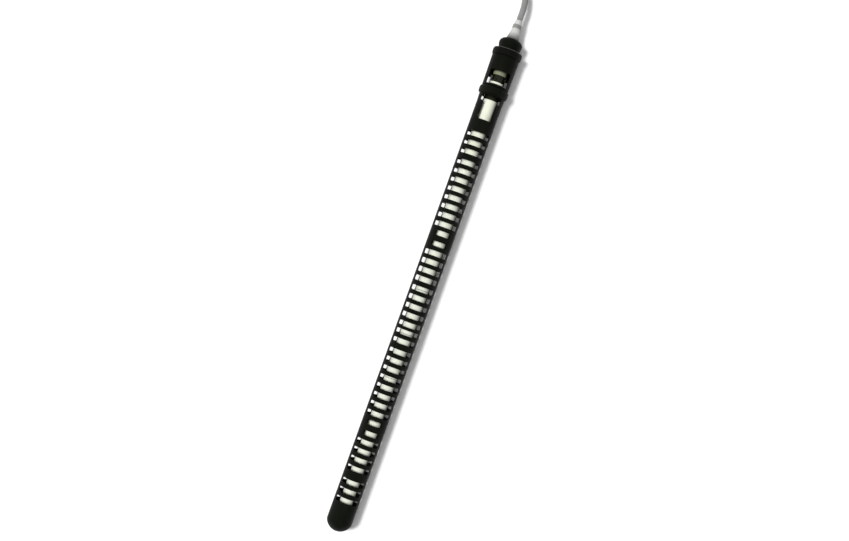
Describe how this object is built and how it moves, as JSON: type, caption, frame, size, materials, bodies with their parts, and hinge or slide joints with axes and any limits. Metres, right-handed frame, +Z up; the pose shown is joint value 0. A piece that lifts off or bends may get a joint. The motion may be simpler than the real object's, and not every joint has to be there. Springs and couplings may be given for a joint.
{
  "type": "submersible aquarium heater",
  "caption": "Long round aquarium heater: glass tube in a slotted black guard, with a viewing window, locking collar, domed dial, strain relief and mains lead with plug.",
  "frame": {"origin": "on the surface the heater lies on, under the middle of its length, without the lead", "axes": "+X along the heater from its closed tip to the cord end, +Z up through the middle of the slotted front"},
  "size_m": [0.7459, 0.0594, 0.0303],
  "materials": {
    "black_plastic": "satin moulded",
    "grey_rubber": "matt moulded",
    "cord_sheath": "matt extruded",
    "silicone": "matt moulded",
    "tube_glass": "clear polished",
    "ceramic": "unglazed fired ceramic",
    "pale_liner": "matt film",
    "phenolic": "pressed board",
    "contact_brass": "rolled",
    "bright_steel": "nickel plated",
    "wire_metal": "drawn",
    "lamp_glass": "tinted"
  },
  "bodies": {
    "heater": {"head_sleeve": "black_plastic", "head_flange": "black_plastic", "tie_left": "black_plastic", "tie_right": "black_plastic", "strain_relief": "grey_rubber", "cord_lead": "cord_sheath", "cord_hank": "cord_sheath", "cord_tail": "cord_sheath", "plug_body": "cord_sheath", "plug_collar": "cord_sheath", "bottom_spacer": "silicone", "capacitor": "silicone", "seal_plug": "silicone", "mouth_gasket": "silicone", "centring_ring_1": "silicone", "centring_ring_2": "silicone", "centring_ring_3": "silicone", "centring_ring_4": "silicone", "glass_tube": "tube_glass", "ceramic_segment_1": "ceramic", "ceramic_segment_2": "ceramic", "ceramic_segment_3": "ceramic", "ceramic_segment_4": "ceramic", "ceramic_segment_5": "ceramic", "ceramic_segment_6": "ceramic", "ceramic_segment_7": "ceramic", "ceramic_segment_8": "ceramic", "scale_liner": "pale_liner", "neck_spacer": "pale_liner", "heat_shield": "phenolic", "thermostat_carrier": "phenolic", "terminal_block": "phenolic", "bimetal_post": "contact_brass", "fixed_contact": "contact_brass", "moving_contact": "contact_brass", "adjusting_lever": "contact_brass", "bimetal_strip": "bright_steel", "plug_pin_left": "bright_steel", "plug_pin_right": "bright_steel", "heating_coil_left": "wire_metal", "heating_coil_right": "wire_metal", "feed_wire_left": "wire_metal", "feed_wire_right": "wire_metal", "lead_wire_left": "wire_metal", "lead_wire_right": "wire_metal", "indicator_lamp": "lamp_glass"},
    "guard": {"guard_cage": "black_plastic", "tip_cushion": "silicone"},
    "collar": {"locking_collar": "black_plastic"},
    "dial": {"dial_knob": "black_plastic"},
    "adjuster": {"adjusting_ring": "phenolic", "push_rod": "contact_brass"}
  },
  "joints": [
    {"name": "guard_slide", "type": "slide", "parent": "heater", "child": "guard", "axis": [-1, 0, 0], "range_m": [0, 0.45]},
    {"name": "collar_twist", "type": "hinge", "parent": "heater", "child": "collar", "pos_m": [0.19435, 0, 0.01515], "axis": [1, 0, 0], "range_deg": [0, 30]},
    {"name": "dial_turn", "type": "hinge", "parent": "heater", "child": "dial", "pos_m": [0.24515, 0, 0.01515], "axis": [1, 0, 0], "range_deg": [-135, 135]},
    {"name": "nut_travel", "type": "slide", "parent": "heater", "child": "adjuster", "axis": [1, 0, 0], "range_m": [-0.0015, 0.0015]}
  ],
  "couplings": [
    {"joint": "nut_travel", "follows": "dial_turn", "m_per_rad": 0.000636}
  ]
}
